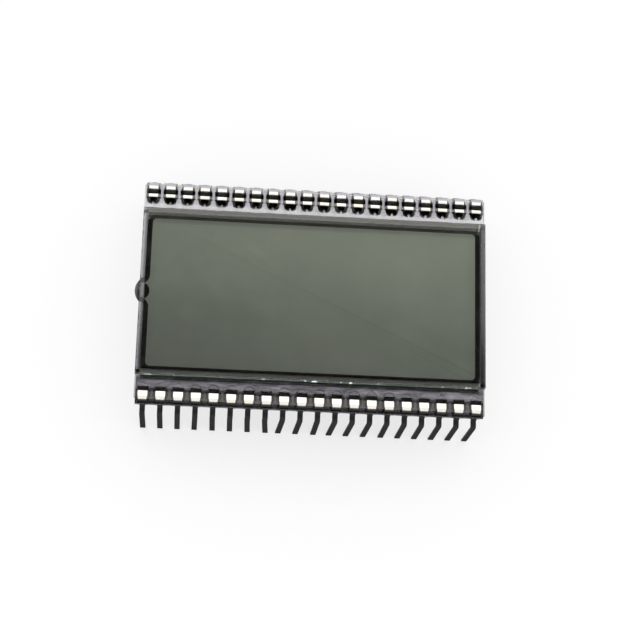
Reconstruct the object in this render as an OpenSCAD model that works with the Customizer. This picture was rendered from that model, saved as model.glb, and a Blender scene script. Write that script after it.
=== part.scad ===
// Segment LCD display: two glass plates sealed round a thin layer of liquid crystal, with a
// row of clip pins pushed onto each long edge of the larger plate and potted in clear resin.
// X runs along the pin rows, Y away from the viewer and Z up. The display stands on its
// pins, and the origin lies on the floor below the middle of the glass.

/* [Glass plates] */
// Length of both plates, along the pin rows
glass_w = 50.8; // [46:0.1:58]
// Depth of the rear plate, from one pin row to the other
rear_glass_d = 33.02; // [28:0.01:40]
// Ledge that the front plate leaves bare along each pin row
ledge_d = 3.9; // [3.7:0.05:5]
// Thickness of each plate
plate_t = 1.1; // [0.7:0.05:1.5]
// Size of the small cut on the near left corner of the rear plate
corner_cut = 0.75; // [0.3:0.05:1.2]
// Space between the plates, drawn thicker than the real few micrometres
cell_gap = 0.05; // [0.03:0.01:0.1]

/* [Seal] */
// Width of the seal line along the short edges
seal_side_w = 0.7; // [0.4:0.05:1]
// Width of the seal line along the long edges
seal_long_w = 0.5; // [0.3:0.05:0.8]
// Bare glass between the seal line and each short edge
side_margin = 0.7; // [0.4:0.05:1.2]
// Bare glass between the seal line and each long edge of the front plate
long_margin = 0.85; // [0.75:0.05:1.4]
// Inner corner radius of the seal line
seal_corner_r = 0.6; // [0.3:0.05:1.2]
// Diameter of the conductive dots that join the two plates outside the seal corners
dot_dia = 0.6; // [0.4:0.05:0.7]
// Glass left round each conductive dot
dot_edge = 0.12; // [0.05:0.01:0.2]

/* [Fill port and plug] */
// Width of the port at the left edge of the glass
fill_port_w = 2.1; // [1.5:0.1:3]
// Length of the plug along the edge
plug_len = 3.4; // [3.2:0.1:5]
// How far the plug stands out from the edge
plug_bulge = 0.7; // [0.4:0.05:0.9]
// How far the plug reaches into the port
plug_depth = 1.45; // [1.1:0.05:1.8]
// Radius of the plug's inner front
plug_front_r = 1.35; // [1.3:0.05:2]

/* [Films] */
// Thickness of each polarizer
polarizer_t = 0.2; // [0.1:0.01:0.3]
// Thickness of the reflector under the rear polarizer
reflector_t = 0.12; // [0.05:0.01:0.2]
// How far the rear polarizer and the reflector reach past the seal, toward each pin row
rear_film_reach = 1.25; // [0:0.05:1.4]

/* [Pins] */
// Distance from pin to pin
pin_pitch = 2.54; // [2.2:0.01:3]
// Least distance from a short edge of the glass to the middle of a pin
pin_end_margin = 1.2; // [1:0.05:3]
// Thickness of the strip that the pins are stamped from
pin_t = 0.25; // [0.2:0.01:0.3]
// Width of the clip head
clip_w = 1.5; // [1.3:0.05:1.8]
// Width of the leg
leg_w = 0.8; // [0.4:0.05:0.85]
// Slit between the leg and the rear finger on each side of it
slit_w = 0.06; // [0.04:0.01:0.1]
// Straight run of the leg below the web, before it steps outward
leg_lead = 0.85; // [0.1:0.05:2]
// Distance from the glass edge to the middle of the leg
leg_out = 1.27; // [1.1:0.01:2]
// Distance from the underside of the glass to the tips of the legs
leg_drop = 10; // [4:0.5:14]
// Inside radius of the bends
bend_r = 0.2; // [0.1:0.01:0.25]
// Clearance between the clips and the glass
clip_gap = 0.02; // [0.01:0.01:0.05]

/* [Contact tab] */
// Straight run of the shoulder, just inside the glass edge
shoulder_run = 0.5; // [0.3:0.05:0.7]
// Slope of the shoulder, in degrees
shoulder_slope = 3; // [0:1:6]
// Inside radius between the shoulder and the tab's slope
shoulder_r = 1; // [0.4:0.1:1.2]
// Straight run of the tab's slope down to the contact line
tab_run = 0.5; // [0.3:0.05:0.6]
// Slope of the tab down to the contact line, in degrees
tab_slope = 14; // [10:1:20]
// Straight run of the flared lip
lip_run = 0.45; // [0.3:0.05:0.55]
// Slope of the flared lip, in degrees
lip_slope = 32; // [20:1:40]
// Inside radius of the strip at its contact lines
contact_r = 0.3; // [0.2:0.05:0.4]

/* [Rear fingers] */
// Straight run of each finger, from its bend to the contact line
finger_run = 1; // [0.6:0.05:1.4]
// Slope of the finger up to the glass, in degrees
finger_slope = 14; // [8:1:18]
// Run of the finger's turned down end
finger_end = 0.3; // [0.1:0.05:0.5]

/* [Resin] */
// Height of the resin above the ledge at the glass edge
resin_edge_h = 0.38; // [0.28:0.02:0.4]
// Height of the resin beside the contact line
resin_mid_h = 0.2; // [0.1:0.02:0.3]
// Height of the resin at its inner border
resin_toe_h = 0.1; // [0.06:0.01:0.2]
// Height of the resin drop at the end of each lip
drop_h = 0.55; // [0.45:0.01:0.6]
// Radius of the drop where it meets the ledge
drop_r = 0.95; // [0.8:0.05:1.1]
// Clear space between the resin and the front plate
resin_clear = 0.12; // [0.05:0.01:0.2]
// Clear space between the resin and the short edges of the glass
resin_end = 0.2; // [0.1:0.05:0.3]
// Length of glass edge that the resin leaves bare at the bottom
skirt_foot = 0.15; // [0.05:0.05:0.4]

/* [Hidden] */
$fn = 64;

front_glass_d = rear_glass_d - 2 * ledge_d;
seal_w = glass_w - 2 * side_margin;
seal_d = front_glass_d - 2 * long_margin;
view_w = seal_w - 2 * seal_side_w;
view_d = seal_d - 2 * seal_long_w;

// Heights, from the floor
glass_z = leg_drop;
ledge_z = glass_z + plate_t;
gap_z = ledge_z;
front_z = gap_z + cell_gap;

pins_per_row = floor((glass_w - 2 * pin_end_margin) / pin_pitch) + 1;
pin_count = 2 * pins_per_row;
// Sideways shift of the tips of the legs that are bent, as pairs of pin number and shift
bent_legs = [
    [5, 0.15], [6, 0.2], [7, 0.3], [8, 0.45], [9, -0.2],
    [10, -0.15], [12, -0.2], [13, -0.2], [14, -0.15]
];

// The port's walls turn outward about centres on the glass edge
lip_out_r = side_margin + seal_side_w;
port_turn_y = fill_port_w / 2 + lip_out_r;

// Edge view of a clip: outward from the glass edge, and up from the underside of the glass
mid_bend_r = bend_r + pin_t / 2;
mid_shoulder_r = shoulder_r + pin_t / 2;
mid_contact_r = contact_r + pin_t / 2;
web_x = clip_gap + pin_t / 2;
web_out = clip_gap + pin_t;
web_foot = mid_bend_r * cos(finger_slope) - clip_gap - pin_t / 2
    - finger_run * sin(finger_slope) - mid_contact_r * (1 - cos(finger_slope));
// Fall and reach of the strip's middle from the top of the web's bend to the contact line
tab_fall = shoulder_run * sin(shoulder_slope) + tab_run * sin(tab_slope)
    + mid_shoulder_r * (cos(shoulder_slope) - cos(tab_slope))
    + mid_contact_r * (1 - cos(tab_slope));
tab_reach = shoulder_run * cos(shoulder_slope) + tab_run * cos(tab_slope)
    + mid_shoulder_r * (sin(tab_slope) - sin(shoulder_slope))
    + mid_contact_r * sin(tab_slope);
web_h = plate_t + clip_gap + pin_t / 2 - web_foot + tab_fall
    - mid_bend_r * cos(shoulder_slope);
contact_x = web_x - mid_bend_r * (1 + sin(shoulder_slope)) - tab_reach;
lip_x = contact_x - mid_contact_r * sin(lip_slope) - lip_run * cos(lip_slope);
leg_run = leg_out - web_x - 2 * mid_bend_r;
knee_z = glass_z + web_foot - leg_lead - 2 * mid_bend_r;
finger_w = (clip_w - leg_w) / 2 - slit_w;
// The leg and the fingers grow out of the web over this length
web_lap = pin_t / 2;

function pin_name(n) = str("pin_", n < 10 ? "0" : "", n);
function tip_shift(n) = [for (leg = bent_legs) if (leg[0] == n) leg[1]];
// Pins are numbered along the near row and back along the far row
function is_near(n) = n <= pins_per_row;
function pin_x(n) = ((is_near(n) ? n : pin_count + 1 - n) - (pins_per_row + 1) / 2) * pin_pitch;

// Flat shapes

module rounded_rect(w, d, r) {
    square([w - 2 * r, d], center = true);
    square([w, d - 2 * r], center = true);
    for (x = [-1, 1], y = [-1, 1])
        translate([x * (w / 2 - r), y * (d / 2 - r)]) circle(r);
}

// Places a flat shape at the centre of each wall of the port
module at_port_walls() {
    for (y = [-port_turn_y, port_turn_y]) translate([-glass_w / 2, y]) children();
}

// The throat of the port, between the seal's two outturned ends
module port_throat() {
    difference() {
        translate([-glass_w / 2, -port_turn_y])
            square([lip_out_r + seal_side_w, 2 * port_turn_y]);
        at_port_walls() circle(lip_out_r);
    }
}

// The plug's inner front is a disc that meets the seal on both sides
module plug_disc() {
    translate([-glass_w / 2 + plug_depth - plug_front_r, 0]) circle(plug_front_r);
}

module seal_outline() {
    difference() {
        union() {
            difference() {
                rounded_rect(seal_w, seal_d, seal_corner_r + seal_long_w);
                rounded_rect(view_w, view_d, seal_corner_r);
            }
            translate([-glass_w / 2, -port_turn_y]) square([lip_out_r, 2 * port_turn_y]);
        }
        port_throat();
        at_port_walls() circle(side_margin);
    }
}

// A strip seen from its edge, bent step by step from its start along +X.
// Each step is [straight run, turn in degrees, radius of the strip's middle]
module bent_strip(steps, i = 0) {
    run = steps[i][0];
    turn = steps[i][1];
    centre_y = steps[i][2] * (turn < 0 ? -1 : 1);
    translate([0, -pin_t / 2]) square([run, pin_t]);
    if (turn != 0)
        translate([run, centre_y]) {
            bend(abs(centre_y), turn);
            rotate(turn) translate([0, -centre_y]) bent_strip(steps, i + 1);
        }
}

// The sector of a ring from +X's normal through its centre, round by the turn
module bend(r, turn) {
    reach = r + pin_t;
    intersection() {
        difference() {
            circle(r + pin_t / 2);
            circle(r - pin_t / 2);
        }
        translate([0, -reach]) square([reach, 2 * reach]);
        rotate(turn) translate([-reach, -reach]) square([reach, 2 * reach]);
    }
}

// Edge view of the resin between the pins: a skirt down the glass edge, a round shoulder
// and a top that falls to the inner border
module resin_section() {
    shoulder_x = web_out - resin_edge_h;
    border_x = resin_clear - ledge_d;
    difference() {
        union() {
            translate([shoulder_x, plate_t]) circle(resin_edge_h);
            translate([shoulder_x, skirt_foot]) square([resin_edge_h, plate_t - skirt_foot]);
            polygon([
                [shoulder_x, skirt_foot], [shoulder_x, plate_t + resin_edge_h],
                [contact_x, plate_t + resin_mid_h], [lip_x, plate_t + resin_mid_h],
                [border_x, plate_t + resin_toe_h], [border_x, skirt_foot]
            ]);
        }
        translate([-ledge_d, 0]) square([ledge_d, plate_t]);
    }
}

// Places

// Stands an edge view on the far edge of the rear plate, w wide and centred on X
module on_far_edge(w) {
    translate([-w / 2, rear_glass_d / 2, glass_z])
        rotate([90, 0, 90]) linear_extrude(w) children();
}

module in_gap() {
    translate([0, 0, gap_z]) linear_extrude(cell_gap) children();
}

// Everything outside the cut on the near left corner
module corner_waste() {
    reach = corner_cut + 2 * plate_t;
    translate([-glass_w / 2, -rear_glass_d / 2, glass_z - reach])
        rotate(45) translate([-reach, -reach, 0])
            cube([reach + corner_cut / sqrt(2), 2 * reach, plate_t + 2 * reach]);
}

// Pieces

module rear_glass() {
    color("gainsboro")
        difference() {
            translate([-glass_w / 2, -rear_glass_d / 2, glass_z])
                cube([glass_w, rear_glass_d, plate_t]);
            corner_waste();
        }
}

module front_glass() {
    color("lightgray")
        translate([-glass_w / 2, -front_glass_d / 2, front_z])
            cube([glass_w, front_glass_d, plate_t]);
}

module perimeter_seal() {
    color("black") in_gap() seal_outline();
}

module liquid_crystal() {
    color("darkseagreen")
        in_gap() difference() {
            union() {
                rounded_rect(view_w, view_d, seal_corner_r);
                port_throat();
            }
            plug_disc();
        }
}

// A drop of hard resin: a spindle along the glass edge with a tongue in the port
module fill_plug() {
    arc_r = (pow(plug_len / 2, 2) + pow(plug_bulge, 2)) / (2 * plug_bulge);
    root = plug_bulge / 3;
    color("dimgray") {
        translate([-glass_w / 2, 0, gap_z + cell_gap / 2])
            intersection() {
                rotate([90, 0, 0]) rotate_extrude()
                    intersection() {
                        translate([plug_bulge - arc_r, 0]) circle(arc_r);
                        translate([0, -plug_len / 2]) square([plug_bulge, plug_len]);
                    }
                translate([-plug_bulge, -plug_len / 2, -plug_bulge])
                    cube([plug_bulge, plug_len, 2 * plug_bulge]);
            }
        in_gap() {
            intersection() {
                port_throat();
                plug_disc();
            }
            translate([-glass_w / 2 - root, -fill_port_w / 2]) square([2 * root, fill_port_w]);
        }
    }
}

module crossover_dot(x_side, y_side) {
    inset = dot_dia / 2 + dot_edge;
    color("darkslategray")
        in_gap() translate([x_side * (glass_w / 2 - inset), y_side * (front_glass_d / 2 - inset)])
            circle(dot_dia / 2);
}

// A film as long as the seal, and as deep but for its reach past it toward the pin rows
module film(z, t, reach) {
    translate([-seal_w / 2, -seal_d / 2 - reach, z]) cube([seal_w, seal_d + 2 * reach, t]);
}

module front_polarizer() {
    color("#66706a") film(front_z + plate_t, polarizer_t, 0);
}

module rear_polarizer() {
    color("#4d554c") film(glass_z - polarizer_t, polarizer_t, rear_film_reach);
}

module reflector() {
    color("silver") film(glass_z - polarizer_t - reflector_t, reflector_t, rear_film_reach);
}

// The part of a clip that bears on the ledge: web, shoulder, contact tab and flared lip
module clip_head() {
    on_far_edge(clip_w)
        translate([web_x, web_foot]) rotate(90) bent_strip([
            [web_h, 90 + shoulder_slope, mid_bend_r],
            [shoulder_run, tab_slope - shoulder_slope, mid_shoulder_r],
            [tab_run, -tab_slope - lip_slope, mid_contact_r],
            [lip_run, 0, 0]
        ]);
}

module rear_finger(x) {
    translate([x, 0, 0])
        on_far_edge(finger_w)
            translate([web_x, web_foot + web_lap]) rotate(-90) bent_strip([
                [web_lap, -90 - finger_slope, mid_bend_r],
                [finger_run, 2 * finger_slope, mid_contact_r],
                [finger_end, 0, 0]
            ]);
}

// The leg goes on down from the web, steps outward and turns down again at the knee. Its
// front view is cut square at the floor, and a bent leg's is slanted from below the knee
module leg(shift) {
    kink_z = knee_z - leg_w;
    intersection() {
        on_far_edge(leg_w + 2 * abs(shift))
            translate([web_x, web_foot + web_lap]) rotate(-90) bent_strip([
                [web_lap + leg_lead, 90, mid_bend_r],
                [leg_run, -90, mid_bend_r],
                [leg_drop, 0, 0]
            ]);
        translate([0, rear_glass_d, 0]) rotate([90, 0, 0]) linear_extrude(rear_glass_d)
            polygon([
                [-leg_w / 2, ledge_z], [leg_w / 2, ledge_z], [leg_w / 2, kink_z],
                [leg_w / 2 + shift, 0], [shift - leg_w / 2, 0], [-leg_w / 2, kink_z]
            ]);
    }
}

module pin(n) {
    turn = is_near(n) ? 180 : 0;
    shift = is_near(n) && len(tip_shift(n)) > 0 ? -tip_shift(n)[0] : 0;
    color("lightsteelblue")
        translate([pin_x(n), 0, 0]) rotate(turn) {
            clip_head();
            for (side = [-1, 1]) rear_finger(side * (leg_w / 2 + slit_w + finger_w / 2));
            leg(shift);
        }
}

// The drop of resin that runs up to the end of one lip
module lip_drop() {
    ball_r = (pow(drop_r, 2) + pow(drop_h, 2)) / (2 * drop_h);
    lip_y = rear_glass_d / 2 + lip_x;
    intersection() {
        translate([0, lip_y, ledge_z + drop_h - ball_r]) sphere(ball_r);
        translate([-drop_r, lip_y - drop_r, ledge_z]) cube([2 * drop_r, drop_r, drop_h]);
    }
}

// The bead along the far edge, with room for every clip head
module resin_bead() {
    difference() {
        union() {
            on_far_edge(glass_w - 2 * resin_end) resin_section();
            for (n = [1 : pins_per_row]) translate([pin_x(n), 0, 0]) lip_drop();
        }
        for (n = [1 : pins_per_row]) translate([pin_x(n), 0, 0]) clip_head();
    }
}

module far_resin() {
    color("lightslategray") resin_bead();
}

module near_resin() {
    color("slategray")
        difference() {
            rotate(180) resin_bead();
            corner_waste();
        }
}

rear_glass();
front_glass();
perimeter_seal();
liquid_crystal();
fill_plug();
front_polarizer();
rear_polarizer();
reflector();
near_resin();
far_resin();
crossover_dot(-1, -1);  // crossover_dot_1
crossover_dot(1, -1);  // crossover_dot_2
crossover_dot(1, 1);  // crossover_dot_3
crossover_dot(-1, 1);  // crossover_dot_4
for (n = [1 : pin_count])
    pin(n);
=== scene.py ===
import math
import random

import bpy
import numpy as np
from mathutils import Matrix, Vector


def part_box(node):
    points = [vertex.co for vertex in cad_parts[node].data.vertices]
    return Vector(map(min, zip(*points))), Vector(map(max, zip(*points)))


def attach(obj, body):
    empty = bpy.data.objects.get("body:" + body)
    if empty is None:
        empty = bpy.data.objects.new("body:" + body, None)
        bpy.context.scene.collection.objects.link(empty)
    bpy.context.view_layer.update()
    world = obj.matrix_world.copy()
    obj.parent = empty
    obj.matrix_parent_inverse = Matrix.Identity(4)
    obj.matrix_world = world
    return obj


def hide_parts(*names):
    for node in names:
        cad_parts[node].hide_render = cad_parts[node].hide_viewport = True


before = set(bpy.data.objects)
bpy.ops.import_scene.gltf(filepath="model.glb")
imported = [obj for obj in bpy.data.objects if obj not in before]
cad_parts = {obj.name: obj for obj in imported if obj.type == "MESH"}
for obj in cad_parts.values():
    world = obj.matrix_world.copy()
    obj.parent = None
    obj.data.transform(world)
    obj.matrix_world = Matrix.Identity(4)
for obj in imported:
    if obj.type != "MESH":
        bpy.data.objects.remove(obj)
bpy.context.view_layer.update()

MM = 0.001

# Places read from the frame, in metres

rear_low, rear_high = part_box("rear_glass")
front_low, front_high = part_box("front_glass")
film_low, film_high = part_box("front_polarizer")
cell_low, cell_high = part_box("liquid_crystal")
bead_low, bead_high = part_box("far_resin")
ledge_z = rear_high.z
view_half_w = cell_high.x
pin_names = sorted(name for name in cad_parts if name.startswith("pin_"))
pins_per_row = len(pin_names) // 2


near_pins = pin_names[:pins_per_row]
far_pins = pin_names[pins_per_row:]
edge_y = rear_high.y
bead_half_w = bead_high.x / MM
PITCH = (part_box("pin_02")[0].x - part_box("pin_01")[0].x)

# Faces that meet at more than this are creased
SHARP = math.radians(35)

# Resin, in millimetres: step of its mesh, section of the pool from the glass edge inward,
# reach of its skirt past the edge, and the drop on the end of each lip
STEP = 0.07
BEAD_US = [0.0, 0.25, 0.7, 1.4, 2.2, 3.0, 3.45, 3.7, 3.78]
BEAD_HEIGHTS = [0.30, 0.33, 0.27, 0.22, 0.19, 0.16, 0.155, 0.15, 0.12]
BEAD_LAP = 0.02
NEAR_SKIRT = 0.42
FAR_SKIRT = 0.34
SKIRT_FOOT = -0.98
HEAD_HALF_W = 0.75
LIP_END = 2.104
DROP_H = 0.52
DROP_R = 0.92

# Chips along the upper edges of the front plate, in millimetres
EDGE_STEP = 0.12
EDGE_BREAK = 0.03


def pin_middle(name):
    """Middle of a pin's head along X: its near-row leg may be bent to one side"""
    points = [vertex.co.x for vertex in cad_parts[name].data.vertices if vertex.co.z > ledge_z]
    return (min(points) + max(points)) / 2


# Shader maths as expressions


class Value:
    """An output socket that Python's operators turn into Math nodes"""

    def __init__(self, shader, socket):
        self.shader = shader
        self.socket = socket

    def math(self, operation, *others, clamp=False):
        values = {0: self}
        for place, other in enumerate(others, start=1):
            values[place] = other
        settings = {"operation": operation, "use_clamp": clamp}
        return self.shader.add("ShaderNodeMath", settings, values)

    def reflected(self, operation, other):
        values = {0: other, 1: self}
        return self.shader.add("ShaderNodeMath", {"operation": operation}, values)

    def __add__(self, other):
        return self.math("ADD", other)

    __radd__ = __add__

    def __sub__(self, other):
        return self.math("SUBTRACT", other)

    def __rsub__(self, other):
        return self.reflected("SUBTRACT", other)

    def __mul__(self, other):
        return self.math("MULTIPLY", other)

    __rmul__ = __mul__

    def __truediv__(self, other):
        return self.math("DIVIDE", other)

    def __pow__(self, other):
        return self.math("POWER", other)

    def __abs__(self):
        return self.math("ABSOLUTE")

    def above(self, edge):
        return self.math("GREATER_THAN", edge)

    def at_least(self, other):
        return self.math("MAXIMUM", other)

    def at_most(self, other):
        return self.math("MINIMUM", other)

    def ramp(self, start, end):
        """0 up to start and 1 from end on, smooth between them"""
        settings = {"interpolation_type": "SMOOTHSTEP"}
        values = {"Value": self, "From Min": start, "From Max": end}
        return self.shader.add("ShaderNodeMapRange", settings, values)


class Shader:
    """The node tree of a material or of the world"""

    def __init__(self, owner, output="ShaderNodeOutputMaterial"):
        owner.use_nodes = True
        self.tree = owner.node_tree
        self.tree.nodes.clear()
        self.output = output

    def add(self, kind, settings, values, output=0):
        """Adds a node, with its settings first and then the values or links of its sockets"""
        node = self.tree.nodes.new(kind)
        for name, setting in settings.items():
            setattr(node, name, setting)
        for name, value in values.items():
            socket = node.inputs[name]
            if isinstance(value, Value):
                self.tree.links.new(value.socket, socket)
            else:
                socket.default_value = value
        return Value(self, node.outputs[output])

    def place(self):
        """Position on the piece, in metres, as X, Y, Z and the whole vector"""
        vector = self.add("ShaderNodeTexCoord", {}, {}, output="Object")
        return (*self.split(vector), vector)

    def split(self, vector):
        parts = self.add("ShaderNodeSeparateXYZ", {}, {0: vector})
        outputs = parts.socket.node.outputs
        return tuple(Value(self, outputs[axis]) for axis in range(3))

    def stretch(self, vector, scale):
        settings = {"operation": "MULTIPLY"}
        return self.add("ShaderNodeVectorMath", settings, {0: vector, 1: scale})

    def noise(self, vector, per_mm, detail=2.0, distortion=0.0):
        """Soft noise round 0.5, with so many waves a millimetre"""
        values = {
            "Vector": vector, "Scale": per_mm / MM, "Detail": detail, "Distortion": distortion,
        }
        return self.add("ShaderNodeTexNoise", {}, values)

    def blend(self, share, low, high):
        """A colour that goes from low to high with share"""
        values = {0: share, 6: low, 7: high}
        return self.add("ShaderNodeMix", {"data_type": "RGBA"}, values, output=2)

    def bump(self, height, strength, distance):
        values = {"Height": height, "Strength": strength, "Distance": distance}
        return self.add("ShaderNodeBump", {}, values)

    def principled(self, values):
        return self.add("ShaderNodeBsdfPrincipled", {}, values)

    def lets_lamps_through(self, surface, tint):
        """Glass whose shadow is a tint, where plain glass would throw a black one"""
        lamp_ray = self.add("ShaderNodeLightPath", {}, {}, output="Is Shadow Ray")
        clear = self.add("ShaderNodeBsdfTransparent", {}, {"Color": tint})
        return self.add("ShaderNodeMixShader", {}, {0: lamp_ray, 1: surface, 2: clear})

    def finish(self, surface):
        node = self.tree.nodes.new(self.output)
        self.tree.links.new(surface.socket, node.inputs["Surface"])


def color(red, green, blue):
    return (red, green, blue, 1.0)


def new_material(name):
    material = bpy.data.materials.new(name)
    return material, Shader(material)


# Materials


def cut_glass(name, body_tint, seed):
    """Polished soda glass, with the scribed and broken edges rougher and greener, and painted shade and painted light
    in its tint
    """
    material, shader = new_material(name)
    x, y, z, place = shader.place()
    normal = shader.add("ShaderNodeNewGeometry", {}, {}, output="Normal")
    broken = 1 - abs(shader.split(normal)[2]).ramp(0.3, 0.7)
    grain = shader.noise(shader.stretch(place, (1, 1, 3)), 6 + seed, detail=4)
    ripple = shader.noise(place, 1.5 + seed, detail=1)
    rough = broken * (0.12 + 0.3 * grain) + 0.004
    # Chips along the near cut edges, with painted glints on them, fainter toward the left
    chip_glints = shader.noise(shader.stretch(place, (1, 0.2, 0.2)), 1.3, detail=2).ramp(0.60, 0.70)
    # Cut edges: green glass, painted near black on the near side as painted shade, and pale along the rear plate's far
    # edge as painted light
    near = 1 - y.ramp(-1 * MM, 1 * MM)
    edge_tint_and_light = shader.blend(near, color(0.08, 0.105, 0.09), color(0.005, 0.008, 0.0065))
    edge_tint_and_light = shader.blend(y.ramp(edge_y - 0.1 * MM, edge_y), edge_tint_and_light, color(0.72, 0.74, 0.73))
    chip_glints = chip_glints * near * (0.25 + 0.65 * x.ramp(-9 * MM, -3 * MM))
    edge_tint_and_light = shader.blend(chip_glints, edge_tint_and_light, color(0.55, 0.80, 0.80))
    # The plate's tint is darker beside the film's side edges and lighter outward
    right = x.ramp(-1 * MM, 1 * MM)
    past_film = abs(x) - film_high.x
    darker_by_film = 1 - past_film.ramp((right * 0.4 - 0.1) * MM, (right * 0.35 + 0.65) * MM)
    darker_by_film = darker_by_film * (front_high.y - abs(y)).ramp(-0.05 * MM, 0.05 * MM)
    # Painted shade: the plate's tint is darker toward the near side
    toned = shader.blend(y.ramp(front_low.y, front_high.y), color(0.58, 0.575, 0.60), body_tint)
    toned = shader.blend(darker_by_film, toned, color(0.13, 0.13, 0.137))
    over_plug = 1 - x.ramp(front_low.x + 0.5 * MM, front_low.x + 0.75 * MM)
    over_plug = over_plug * (1.0 * MM - abs(y)).ramp(-0.1 * MM, 0.1 * MM)
    toned = shader.blend(over_plug, toned, color(0.77, 0.765, 0.80))
    long_margin = (abs(y) - film_high.y).ramp(-0.05 * MM, 0.05 * MM)
    long_margin = long_margin * (front_high.y - abs(y)).ramp(-0.05 * MM, 0.05 * MM)
    long_margin = long_margin * (film_high.x - abs(x)).ramp(-0.1 * MM, 0.1 * MM)
    toned = shader.blend(long_margin, toned, color(0.90, 0.90, 0.88))
    tint = shader.blend(broken, toned, edge_tint_and_light)
    height = shader.bump((grain * 0.6 + ripple) * broken, 0.5, 0.06 * MM)
    surface = shader.principled({
        "Base Color": tint, "Roughness": rough, "IOR": 1.52, "Transmission Weight": 1.0,
        "Normal": height,
    })
    shader.finish(shader.lets_lamps_through(surface, color(0.9, 0.92, 0.91)))
    return material


def seal_epoxy():
    """Cured black seal line, slightly mottled, its far line painted lighter as painted light"""
    material, shader = new_material("seal_epoxy")
    x, y, z, place = shader.place()
    mottle = shader.noise(place, 3, detail=3)
    tone = shader.blend(mottle.ramp(0.3, 0.7), color(0.004, 0.004, 0.004), color(0.013, 0.012, 0.011))
    # Painted light: the far seal line is lighter
    far_line_lit = y.ramp(cell_high.y - 0.3 * MM, cell_high.y)
    tone = shader.blend(far_line_lit, tone, color(0.034, 0.031, 0.029))
    shader.finish(shader.principled({
        "Base Color": tone, "Roughness": 0.5 + 0.1 * mottle, "Specular IOR Level": 0.0,
    }))
    return material


def cell_face():
    """Liquid crystal over the rear polarizer and the reflector: gray green, with painted shade toward the left and the
    bottom and a painted shadow of the seal along the top
    """
    material, shader = new_material("cell_face")
    x, y, z, place = shader.place()
    cloud = shader.noise(place, 0.09, detail=2)
    grain = shader.noise(place, 7, detail=2)
    # Painted shade: darker toward the left and toward the bottom, and a painted shadow of the seal along the top
    left = 1 - x.ramp(-view_half_w, view_half_w)
    low = 1 - y.ramp(cell_low.y, cell_high.y)
    seal_shadow_strip = y.ramp(cell_high.y - 0.9 * MM, cell_high.y - 0.2 * MM)
    shade = left * 0.24 + low * 0.76 + seal_shadow_strip * 0.45 + (cloud - 0.5) * 0.4 + (grain - 0.5) * 0.22
    tone = shader.blend(shade, color(0.226, 0.234, 0.205), color(0.118, 0.121, 0.115))
    shader.finish(shader.principled({
        "Base Color": tone, "Roughness": 0.5 + 0.1 * grain, "Specular IOR Level": 0.0,
    }))
    return material


def front_film():
    """Polarizer: a clear gray sheet with a faint haze and fine rub marks"""
    material, shader = new_material("front_film")
    x, y, z, place = shader.place()
    rubs = shader.noise(shader.stretch(place, (1, 0.12, 1)), 2.5, detail=3)
    smudge = shader.noise(place, 0.25, detail=2)
    haze = 0.005 + rubs.ramp(0.62, 0.8) * 0.02 + smudge.ramp(0.5, 0.75) * 0.015
    sheet = shader.add("ShaderNodeBsdfTransparent", {}, {"Color": color(0.90, 0.92, 0.89)})
    veil = shader.principled({"Base Color": color(0.45, 0.47, 0.44), "Roughness": 0.3})
    shader.finish(shader.add("ShaderNodeMixShader", {}, {0: haze, 1: sheet, 2: veil}))
    return material


def rear_film():
    material, shader = new_material("rear_film")
    x, y, z, place = shader.place()
    cloud = shader.noise(place, 0.2, detail=3)
    tone = shader.blend(cloud, color(0.12, 0.125, 0.11), color(0.17, 0.175, 0.16))
    shader.finish(shader.principled({"Base Color": tone, "Roughness": 0.35 + 0.1 * cloud}))
    return material


def reflector_foil():
    """Brushed foil"""
    material, shader = new_material("reflector_foil")
    x, y, z, place = shader.place()
    brush = shader.noise(shader.stretch(place, (0.02, 1, 1)), 12, detail=4)
    tone = shader.blend(brush, color(0.55, 0.55, 0.54), color(0.68, 0.68, 0.66))
    normal = shader.bump(brush, 0.25, 0.01 * MM)
    shader.finish(shader.principled({
        "Base Color": tone, "Metallic": 1.0, "Roughness": 0.28 + 0.2 * brush, "Normal": normal,
    }))
    return material


def contact_shade_places(shader):
    """For the shade painted round each contact: the distance in from the glass edge, that from the contact's middle,
    and 1 beside the contact"""
    x, y, z, place = shader.place()
    u = edge_y - abs(y)
    wobble = (shader.noise(place, 2.2, detail=2) - 0.5) * 0.2 * MM
    off_pitch = abs((x / PITCH + 0.5).math("FRACT") - 0.5)
    across = (0.5 - off_pitch) * PITCH + wobble
    half_w = 0.46 * MM + u.ramp(-0.4 * MM, 0.1 * MM) * 0.3 * MM + u.ramp(0.2 * MM, 0.9 * MM) * 0.34 * MM
    return u, across, (half_w - across).ramp(-0.06 * MM, 0.06 * MM)


def shaded_resin():
    """The near row's resin: the far row's resin with its tint painted dark as painted shade, darker still between the
    clips; a little streaky, and its skin is slight
    """
    material, shader = new_material("shaded_resin")
    x, y, z, place = shader.place()
    cloud = shader.noise(place, 0.8, detail=3)
    streaks = shader.noise(shader.stretch(place, (0.35, 1.4, 1)), 1.0, detail=3)
    u, across, beside = contact_shade_places(shader)
    # Painted shade beside each clip head, from the skirt in along the head
    contact_shade = beside * u.ramp(-0.42 * MM, -0.3 * MM) * (1.75 * MM - u).ramp(0, 0.2 * MM)
    tint = shader.blend(streaks.ramp(0.4, 0.75), color(0.19, 0.185, 0.20), color(0.50, 0.48, 0.54))
    # Painted shade: darker between the clips
    shade_between_clips = 1 - u.ramp(1.9 * MM, 2.4 * MM)
    tint = shader.blend(shade_between_clips * 0.75, tint, color(0.07, 0.068, 0.07))
    tint = shader.blend(contact_shade, tint, color(0.003, 0.003, 0.003))
    skin = shader.noise(place, 1.6, detail=1)
    surface = shader.principled({
        "Base Color": tint, "Roughness": 0.03 + 0.05 * cloud, "IOR": 1.4,
        "Transmission Weight": 1.0, "Normal": shader.bump(skin, 0.3, 0.04 * MM),
    })
    shader.finish(shader.lets_lamps_through(surface, color(0.75, 0.75, 0.77)))
    return material


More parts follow.
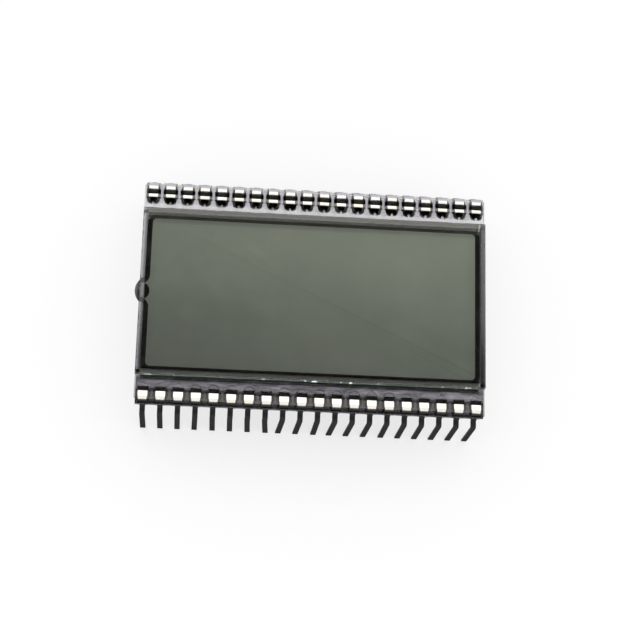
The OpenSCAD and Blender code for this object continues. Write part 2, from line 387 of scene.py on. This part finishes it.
def clear_resin():
    """The far row's resin: clear with a lavender cast under a glossy skin. Shade is painted round each contact and
    runs on past the lip in a round tongue, with a small clear spot near its end as a painted highlight; its shallow
    bands by the glass edge and by the front plate are painted near white, as painted light"""
    material, shader = new_material("clear_resin")
    x, y, z, place = shader.place()
    cloud = shader.noise(place, 0.8, detail=3)
    u, across, beside = contact_shade_places(shader)
    # Painted shade past the lip in a round tongue, with a small clear spot in it as a painted highlight
    past_lip = (u / MM - 2.1).at_least(0)
    tongue = 0.95 - (past_lip ** 3 + (across / MM) ** 3) ** (1 / 3)
    tongue = tongue.ramp(-0.05, 0.05) * u.ramp(1.8 * MM, 1.9 * MM)
    glint_spot = (0.2 * MM - ((u - 2.84 * MM) ** 2 + across ** 2) ** 0.5).ramp(-0.06 * MM, 0.06 * MM)
    beside = beside * u.ramp(0.15 * MM, 0.3 * MM) * (2.2 * MM - u).ramp(0, 0.2 * MM)
    contact_shade = beside.at_least(tongue) * (1 - glint_spot)
    tint = shader.blend(cloud.ramp(0.3, 0.7), color(0.84, 0.82, 0.88), color(0.97, 0.96, 1.0))
    # Painted light: near white in the shallow bands by the glass edge and by the front plate
    thin_and_lit = u.ramp(2.5 * MM, 2.9 * MM).at_least(1 - u.ramp(0.4 * MM, 0.7 * MM))
    tint = shader.blend(thin_and_lit * 0.85, tint, color(1.0, 1.0, 1.0))
    tint = shader.blend(contact_shade, tint, color(0.003, 0.004, 0.003))
    skin = shader.noise(place, 1.6, detail=1)
    rough = 0.03 + 0.05 * cloud + (1 - contact_shade) * (0.36 - thin_and_lit * 0.22)
    surface = shader.principled({
        "Base Color": tint, "Roughness": rough, "IOR": 1.5,
        "Transmission Weight": 1.0, "Normal": shader.bump(skin, 0.3, 0.04 * MM),
        "Coat Weight": 0.8 + 0.2 * cloud, "Coat Roughness": 0.03, "Coat IOR": 1.45,
    })
    shader.finish(shader.lets_lamps_through(surface, color(0.75, 0.75, 0.77)))
    return material


def plug_resin():
    material, shader = new_material("plug_resin")
    x, y, z, place = shader.place()
    cloud = shader.noise(place, 1.5, detail=3)
    at_glass = x.ramp(front_low.x - 0.45 * MM, front_low.x - 0.1 * MM)
    inside = x.ramp(front_low.x + 0.08 * MM, front_low.x + 0.2 * MM)
    deep = x.ramp(front_low.x + 0.55 * MM, front_low.x + 0.8 * MM)
    tone = shader.blend(cloud, color(0.05, 0.052, 0.052), color(0.11, 0.115, 0.11))
    tone = shader.blend(at_glass, tone, color(0.022, 0.022, 0.023))
    tone = shader.blend(inside, tone, color(0.93, 0.92, 0.97))
    tone = shader.blend(deep, tone, color(0.012, 0.012, 0.012))
    shader.finish(shader.principled({
        "Base Color": tone, "Roughness": 0.3 + 0.15 * cloud, "Specular IOR Level": 0.2,
        "Normal": shader.bump(cloud, 0.3, 0.05 * MM),
    }))
    return material


def conductive_dot():
    material, shader = new_material("conductive_dot")
    x, y, z, place = shader.place()
    flakes = shader.noise(place, 9, detail=2)
    tone = shader.blend(flakes.ramp(0.4, 0.6), color(0.03, 0.03, 0.03), color(0.12, 0.12, 0.11))
    shader.finish(shader.principled({"Base Color": tone, "Roughness": 0.4, "Metallic": 0.3}))
    return material


def tin_plate():
    """Tinned strip: bright on the clip heads; the legs and webs painted dark and streaked, as painted shade, with
    painted light on their side faces and on the far row's rim, a painted highlight on the far heads' outer part, and
    painted shade along the heads' side edges
    """
    material, shader = new_material("tin_plate")
    x, y, z, place = shader.place()
    streaks = shader.noise(shader.stretch(place, (1, 1, 0.15)), 5, detail=3)
    blotch = shader.noise(place, 0.9, detail=2)
    u = edge_y - abs(y)
    on_top = z.ramp(ledge_z - 0.1 * MM, ledge_z)
    far = y.ramp(-1 * MM, 1 * MM)
    head = (u - (0.12 + far * 0.10) * MM).ramp(-0.08 * MM, 0.1 * MM) * on_top
    # Painted light: the far row's rim, outside the heads, is pale
    lit_far_rim = (1 - head) * on_top * far
    normal = shader.add("ShaderNodeNewGeometry", {}, {}, output="Normal")
    # Painted light: faces turned along X are lighter
    cheek = abs(shader.split(normal)[0]).ramp(0.6, 0.9)
    # Painted shade: legs and webs dark and streaked, without metal shine
    leg_shade_and_light = shader.blend(streaks, color(0.024, 0.023, 0.024), color(0.046, 0.045, 0.047))
    leg_shade_and_light = shader.blend(cheek, leg_shade_and_light, color(0.15, 0.145, 0.16))
    leg_shade_and_light = shader.blend(lit_far_rim, leg_shade_and_light, color(0.44, 0.43, 0.48))
    bright = shader.blend(blotch, color(0.44, 0.435, 0.42), color(0.54, 0.53, 0.51))
    # Painted highlight: the far heads' outer part is brighter
    far_sheen = far * (1 - u.ramp(1.0 * MM, 1.3 * MM))
    bright = shader.blend(far_sheen, bright, color(0.80, 0.79, 0.76))
    across = (0.5 - abs((x / PITCH + 0.5).math("FRACT") - 0.5)) * PITCH
    taper = (1 - far) * (1 - u.ramp(0.1 * MM, 0.8 * MM)) * 0.1 * MM
    # Painted shade along the heads' side edges, wider on the near row's outer part
    head_edge_shade = (across + taper).ramp(0.64 * MM, 0.72 * MM)
    bright = shader.blend(head_edge_shade, bright, color(0.06, 0.06, 0.06))
    tone = shader.blend(head, leg_shade_and_light, bright)
    rough = 0.14 + 0.1 * blotch + (1 - head) * 0.2
    shader.finish(shader.principled({
        "Base Color": tone, "Metallic": head, "Roughness": rough, "Specular IOR Level": 0.0,
        "Normal": shader.bump(blotch + streaks * 0.3, 0.15, 0.02 * MM),
    }))
    return material


# Pieces


def wear(node, material):
    """Gives a CAD node a better material in its own slots"""
    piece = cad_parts[node]
    for slot in piece.material_slots:
        slot.material = material


def new_piece(name, points, faces, material, slot, *stands_for):
    """A piece of the scene that stands for one or more CAD nodes"""
    mesh = bpy.data.meshes.new(name)
    mesh.from_pydata(points, [], faces)
    mesh.materials.append(material)
    mesh.shade_smooth()
    mesh.set_sharp_from_angle(angle=SHARP)
    piece = bpy.data.objects.new(name, mesh)
    bpy.context.scene.collection.objects.link(piece)
    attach(piece, "root")
    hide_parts(*stands_for)
    return piece


def lapped_copy(name, node, lap, material, slot):
    """The node's form, its faces lapped a little up and down into the plates it is bonded to"""
    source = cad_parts[node].data
    low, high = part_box(node)
    middle = (low.z + high.z) / 2
    points = [vertex.co.copy() for vertex in source.vertices]
    for point in points:
        point.z += lap if point.z > middle else -lap
    faces = [tuple(face.vertices) for face in source.polygons]
    return new_piece(name, points, faces, material, slot, node)


def bonded_face():
    """The face under the front film: the glue leaves no air there, so it doesn't mirror"""
    material, shader = new_material("bonded_face")
    x, y, z, place = shader.place()
    glue = shader.noise(place, 0.3, detail=2).ramp(0.55, 0.8) * 0.006
    open_face = shader.add("ShaderNodeBsdfTransparent", {}, {"Color": color(1, 1, 1)})
    haze = shader.principled({"Base Color": color(0.3, 0.3, 0.3), "Roughness": 0.6})
    shader.finish(shader.add("ShaderNodeMixShader", {}, {0: glue, 1: open_face, 2: haze}))
    return material


def chip_depths(count, rng, chips):
    """How far each of count points round the plate's upper edge is chipped away"""
    depths = np.zeros(count)
    places = np.arange(count)
    for _ in range(chips):
        middle = rng.randrange(count)
        half_w = rng.uniform(1, 4.5)
        away = (places - middle + count / 2) % count - count / 2
        bowl = np.sqrt(np.clip(1 - (away / half_w) ** 2, 0, None))
        depths = np.maximum(depths, bowl * rng.uniform(0.03, 0.16))
    return depths


def front_plate(material, under_film):
    """The front glass, its upper edges nibbled by the scribe and snap"""
    rng = random.Random(21)
    half_w, half_d = front_high.x / MM, front_high.y / MM
    film_w, film_d = film_high.x / MM, film_high.y / MM
    across = np.linspace(-half_w, half_w, round(2 * half_w / EDGE_STEP) + 1)[:-1]
    along = np.linspace(-half_d, half_d, round(2 * half_d / EDGE_STEP) + 1)[:-1]
    rim = [(x, -half_d) for x in across] + [(half_w, y) for y in along]
    rim += [(-x, half_d) for x in across] + [(-half_w, -y) for y in along]
    depths = chip_depths(len(rim), rng, 150)
    low, high = front_low.z / MM, front_high.z / MM
    foot = [(x, y, low) for x, y in rim]
    cheek, brow, inner, inner_of = [], [], [], []
    for (x, y), depth in zip(rim, depths):
        inset = EDGE_BREAK + depth
        cheek.append((x, y, high - EDGE_BREAK - depth * 0.8))
        brow.append((max(-half_w + inset, min(half_w - inset, x)), max(-half_d + inset, min(half_d - inset, y)), high))
        corner = (max(-film_w, min(film_w, x)), max(-film_d, min(film_d, y)), high)
        if not inner or inner[-1] != corner:
            inner.append(corner)
        inner_of.append(len(inner) - 1)
    if inner[-1] == inner[0]:
        inner.pop()
        inner_of = [place % len(inner) for place in inner_of]
    count = len(rim)
    faces = [tuple(reversed(range(count)))]
    for i in range(count):
        j = (i + 1) % count
        faces.append((i, j, count + j, count + i))
        faces.append((count + i, count + j, 2 * count + j, 2 * count + i))
        a, b = 3 * count + inner_of[i], 3 * count + inner_of[j]
        faces.append((2 * count + i, 2 * count + j, b, a) if a != b else (2 * count + i, 2 * count + j, a))
    faces.append(tuple(3 * count + i for i in range(len(inner))))
    points = [(x * MM, y * MM, z * MM) for x, y, z in foot + cheek + brow + inner]
    piece = new_piece("front_plate", points, faces, material, "clear_glass", "front_glass")
    piece.data.materials.append(under_film)
    piece.data.polygons[len(faces) - 1].material_index = 1
    return piece


# Potting resin. Along a row, u is the distance in from the glass edge and h the height over
# the ledge, in millimetres; side is 1 on the far row and -1 on the near row


def head_profile(name, side, us):
    """Height of the top of one clip head over the ledge at each u, found by rays from above"""
    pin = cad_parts[name]
    above = film_high.z + 1 * MM
    heights = []
    for u in us:
        start = Vector((pin_middle(name), side * (edge_y - u * MM), above))
        hit, point, _, _ = pin.ray_cast(start, Vector((0, 0, -1)))
        heights.append((point.z - ledge_z) / MM if hit else 0.0)
    return np.array(heights)


def smooth_step(values, start, end):
    share = np.clip((values - start) / (end - start), 0, 1)
    return share * share * (3 - 2 * share)


def smooth_max(a, b, softness):
    return (a + b + np.sqrt((a - b) ** 2 + softness ** 2)) / 2


def bead_heights(xs, us, middles, head, rng):
    """Height of the resin over the ledge: a low pool that climbs round each clip head, and
    a drop over the end of each lip"""
    x = xs[:, None]
    u = us[None, :]
    pool = np.interp(us, BEAD_US, BEAD_HEIGHTS)[None, :] + 0 * x
    pool = pool + 0.02 * np.sin(x * 1.7 + 3 * rng.random()) * smooth_step(u, 0.4, 2)
    surface = pool
    for middle in middles:
        across = np.abs(x - middle - 0.04 * (rng.random() - 0.5))
        outside = np.clip(across - HEAD_HALF_W, 0, None)
        climb = np.clip(head[None, :] - 0.06 - pool, 0, None)
        climb = climb * np.exp(-(outside / (0.16 + 0.05 * rng.random())) ** 1.5)
        beside = smooth_step(LIP_END + 0.1 - u, 0, 0.3) * (across < 1.27)
        surface = np.maximum(surface, pool + climb * beside)
        radius = DROP_R * (0.94 + 0.12 * rng.random())
        away = np.hypot(across, np.clip(u - LIP_END + 0.12, 0, None)) / radius
        drop = DROP_H * (0.9 + 0.2 * rng.random()) * np.sqrt(np.clip(1 - away ** 2, 0, None))
        drop = np.where(u > LIP_END - 0.45, drop, 0)
        surface = np.where(away < 1, smooth_max(surface, drop, 0.03), surface)
        under = (across < HEAD_HALF_W - 0.03) & (u < LIP_END - 0.12)
        surface = np.where(under, np.minimum(surface, head[None, :] - 0.09), surface)
    return surface


def resin_bead(name, node, side, names, material, skirt, seed):
    """One row's resin: every column of points is one closed section of the bead"""
    rng = random.Random(seed)
    xs = np.arange(-bead_half_w, bead_half_w + STEP / 2, STEP)
    us = np.arange(BEAD_US[0], BEAD_US[-1] + STEP / 2, STEP)
    head = head_profile(names[len(names) // 2], side, us)
    middles = [side * pin_middle(pin) / MM for pin in names]
    heights = bead_heights(xs, us, middles, head, rng)
    sag = smooth_step(bead_half_w - np.abs(xs), 0, 0.35)
    turn = np.linspace(math.pi / 2, math.pi, 9)[:-1]
    columns = []
    for i, x in enumerate(xs):
        h = BEAD_HEIGHTS[-1] + (heights[i] - BEAD_HEIGHTS[-1]) * (0.25 + 0.75 * sag[i])
        round_h = skirt * 0.9
        shoulder_h = h[0] - round_h + round_h * np.sin(turn)
        section = [(x, u, z) for u, z in zip(us[::-1], h[::-1])]
        section += [(x, u, z) for u, z in zip(skirt * np.cos(turn), shoulder_h)]
        section += [(x, -skirt, -0.3), (x, -skirt * 0.9, -0.7)]
        section += [(x, -skirt * 0.7, SKIRT_FOOT), (x, 0.02, SKIRT_FOOT)]
        section += [(x, 0.02, -BEAD_LAP), (x, BEAD_US[-1] + 0.03, -BEAD_LAP)]
        columns.append(section)
    count = len(columns[0])
    points = [
        (side * x * MM, side * (edge_y - u * MM), ledge_z + z * MM)
        for section in columns for x, u, z in section
    ]
    faces = []
    for i in range(len(columns) - 1):
        for j in range(count):
            a, b = i * count + j, i * count + (j + 1) % count
            faces.append((a, a + count, b + count, b))
    last = (len(columns) - 1) * count
    faces.append(tuple(range(count)))
    faces.append(tuple(last + j for j in reversed(range(count))))
    return new_piece(name, points, faces, material, "potting_resin", node)


# Stage


def make_camera():
    """A lens of about 100 mm over the near side, turned a little about its own line of sight"""
    place = Vector((-17.08, -75.79, 255.45)) * MM
    aim = Vector((1.094, -3.179, 11.1)) * MM
    roll = math.radians(16.173)
    ahead = (aim - place).normalized()
    level = ahead.cross(Vector((0, 0, 1))).normalized()
    upright = level.cross(ahead)
    right = math.cos(roll) * level + math.sin(roll) * upright
    up = math.cos(roll) * upright - math.sin(roll) * level
    data = bpy.data.cameras.new("camera")
    data.lens = 98.22
    data.sensor_width = 36
    camera = bpy.data.objects.new("camera", data)
    camera.matrix_world = Matrix.Translation(place) @ Matrix((right, up, -ahead)).transposed().to_4x4()
    bpy.context.scene.collection.objects.link(camera)
    bpy.context.scene.camera = camera


def seen_ray(shader, *kinds):
    """1 for the kinds of ray that show the background"""
    path = shader.add("ShaderNodeLightPath", {}, {}, output=kinds[0])
    outputs = path.socket.node.outputs
    for kind in kinds[1:]:
        path = path.at_least(Value(shader, outputs[kind]))
    return path


def make_world():
    """A wide warm softbox on the far side, and a cool low fill all round"""
    world = bpy.data.worlds.new("studio")
    bpy.context.scene.world = world
    shader = Shader(world, "ShaderNodeOutputWorld")
    direction = shader.add("ShaderNodeTexCoord", {}, {}, output="Generated")
    x, y, z = shader.split(direction)
    softbox = y.ramp(0.22, 0.36) * z.ramp(0.03, 0.16)
    lit = shader.blend(softbox, color(1.01, 1.01, 1.01), color(1.40, 1.40, 1.40))
    mirrored = shader.blend(softbox, color(1, 1, 1), color(2.80, 2.71, 2.52))
    glossy = seen_ray(shader, "Is Glossy Ray")
    shown = seen_ray(shader, "Is Camera Ray", "Is Transmission Ray")
    tone = shader.blend(shown, shader.blend(glossy, lit, mirrored), color(1, 1, 1))
    shader.finish(shader.add("ShaderNodeBackground", {}, {"Color": tone, "Strength": 1.0}))


def make_sheet(name, low, high, height, material):
    """A flat rectangle of the stage"""
    mesh = bpy.data.meshes.new(name)
    corners = [(low[0], low[1]), (high[0], low[1]), (high[0], high[1]), (low[0], high[1])]
    mesh.from_pydata([(x, y, height) for x, y in corners], [], [(0, 1, 2, 3)])
    mesh.materials.append(material)
    sheet = bpy.data.objects.new(name, mesh)
    bpy.context.scene.collection.objects.link(sheet)
    return sheet


def make_floor():
    material, shader = new_material("floor")
    seen = seen_ray(shader, "Is Camera Ray", "Is Glossy Ray", "Is Transmission Ray")
    matt = shader.add("ShaderNodeBsdfDiffuse", {}, {"Color": color(0.92, 0.92, 0.92)})
    glow = shader.add("ShaderNodeEmission", {}, {"Color": color(1, 1, 1), "Strength": 1.0})
    share = seen * 0.5 + seen_ray(shader, "Is Camera Ray") * 0.15
    shader.finish(shader.add("ShaderNodeMixShader", {}, {0: share, 1: matt, 2: glow}))
    make_sheet("floor", (-3, -3), (3, 3), 0, material)


def make_flag():
    """A black card over the near side, seen only in reflections, with a soft far edge"""
    material, shader = new_material("flag")
    x, y, z, place = shader.place()
    clear = shader.add("ShaderNodeBsdfTransparent", {}, {})
    black = shader.add("ShaderNodeBsdfDiffuse", {}, {"Color": color(0, 0, 0)})
    share = y.ramp(0.058, 0.077)
    shader.finish(shader.add("ShaderNodeMixShader", {}, {0: share, 1: black, 2: clear}))
    flag = make_sheet("flag", (-0.5, -0.6), (0.5, 0.12), 0.27, material)
    flag.visible_camera = False
    flag.visible_diffuse = False
    flag.visible_shadow = False
    flag.visible_transmission = False


make_camera()
make_world()
make_floor()
make_flag()

plate = cut_glass("clear_glass", color(0.66, 0.655, 0.69), 0)
wear("rear_glass", plate)
front_plate(plate, bonded_face())
lapped_copy("seal_line", "perimeter_seal", 0.004 * MM, seal_epoxy(), "seal_epoxy")
lapped_copy("cell_layer", "liquid_crystal", 0.005 * MM, cell_face(), "liquid_crystal")
wear("fill_plug", plug_resin())
wear("front_polarizer", front_film())
wear("rear_polarizer", rear_film())
wear("reflector", reflector_foil())
resin_bead("near_bead", "near_resin", -1, near_pins, shaded_resin(), NEAR_SKIRT, 3)
resin_bead("far_bead", "far_resin", 1, far_pins, clear_resin(), FAR_SKIRT, 8)
dot = conductive_dot()
for corner in range(1, 5):
    wear(f"crossover_dot_{corner}", dot)
tin = tin_plate()
for name in pin_names:
    wear(name, tin)

scene = bpy.context.scene
scene.view_settings.view_transform = "Standard"
